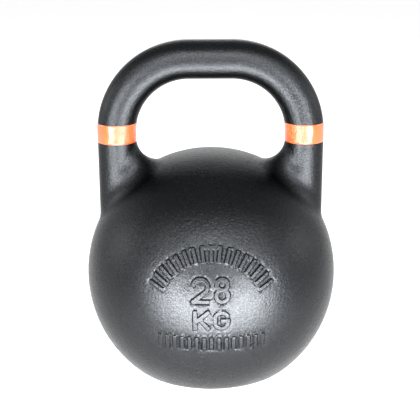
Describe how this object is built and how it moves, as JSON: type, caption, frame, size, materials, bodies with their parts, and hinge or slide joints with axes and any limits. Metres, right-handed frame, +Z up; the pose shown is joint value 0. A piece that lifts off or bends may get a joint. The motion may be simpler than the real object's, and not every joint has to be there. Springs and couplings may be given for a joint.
{
  "type": "kettlebell",
  "caption": "Competition-style kettlebell: a steel ball with a flat base and a rounded window handle in one casting, an orange band round each leg and a plugged, filled core.",
  "frame": {"origin": "centre of the flat base, on the surface that the bell stands on", "axes": "+Z up through the middle of the handle, X along the handle's grip, -Y out of the face with the raised numerals"},
  "size_m": [0.21, 0.2108, 0.28],
  "materials": {
    "black_powder_coat": "satin",
    "orange_vinyl": "gloss",
    "zinc_plated_steel": "satin",
    "black_rubber": "matte",
    "bonded_shot": "matte",
    "grey_felt": "matte"
  },
  "bodies": {
    "root": {"bell_casting": "black_powder_coat", "left_colour_band": "orange_vinyl", "right_colour_band": "orange_vinyl", "core_plug": "zinc_plated_steel", "plug_seal": "black_rubber", "trim_ballast": "bonded_shot", "core_packing": "grey_felt"}
  },
  "joints": []
}
